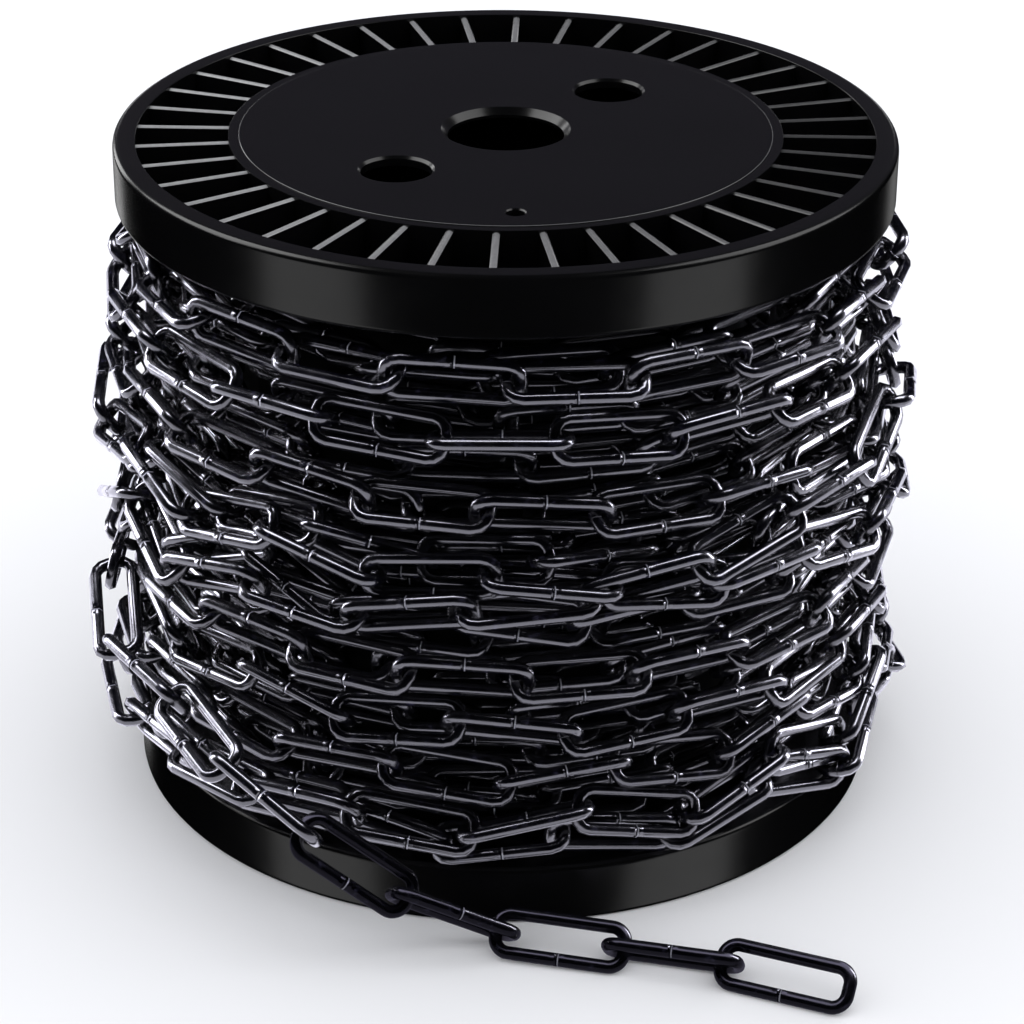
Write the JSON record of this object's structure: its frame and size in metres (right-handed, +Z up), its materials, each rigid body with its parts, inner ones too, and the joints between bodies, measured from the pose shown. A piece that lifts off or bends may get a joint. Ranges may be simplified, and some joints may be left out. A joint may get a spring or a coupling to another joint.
{
  "type": "reel of decorative chain",
  "caption": "Ribbed plastic reel standing on its end, wound with black long-link steel chain, with a loose tail of links lying in front.",
  "frame": {"origin": "on the floor, in the middle of the ground covered by the reel and its loose tail; the reel's axis stands 15 mm behind it", "axes": "+Z up along the reel's axis, -Y towards the front, where the tail of chain lies, +X to the right as seen from the front"},
  "size_m": [0.192, 0.2212, 0.158],
  "materials": {
    "reel_plastic": "black moulded plastic, satin",
    "barrel_plastic": "black plastic tube",
    "chain_coat": "gloss black coated steel wire"
  },
  "bodies": {
    "root": {"flange_top": "reel_plastic", "flange_bottom": "reel_plastic", "barrel": "barrel_plastic", "chain_core": "chain_coat", "chain_layer_outer": "chain_coat", "tail_link_1": "chain_coat", "tail_link_2": "chain_coat", "tail_link_3": "chain_coat", "tail_link_4": "chain_coat", "tail_link_5": "chain_coat", "tail_link_6": "chain_coat", "tail_link_7": "chain_coat", "tail_link_8": "chain_coat"}
  },
  "joints": []
}
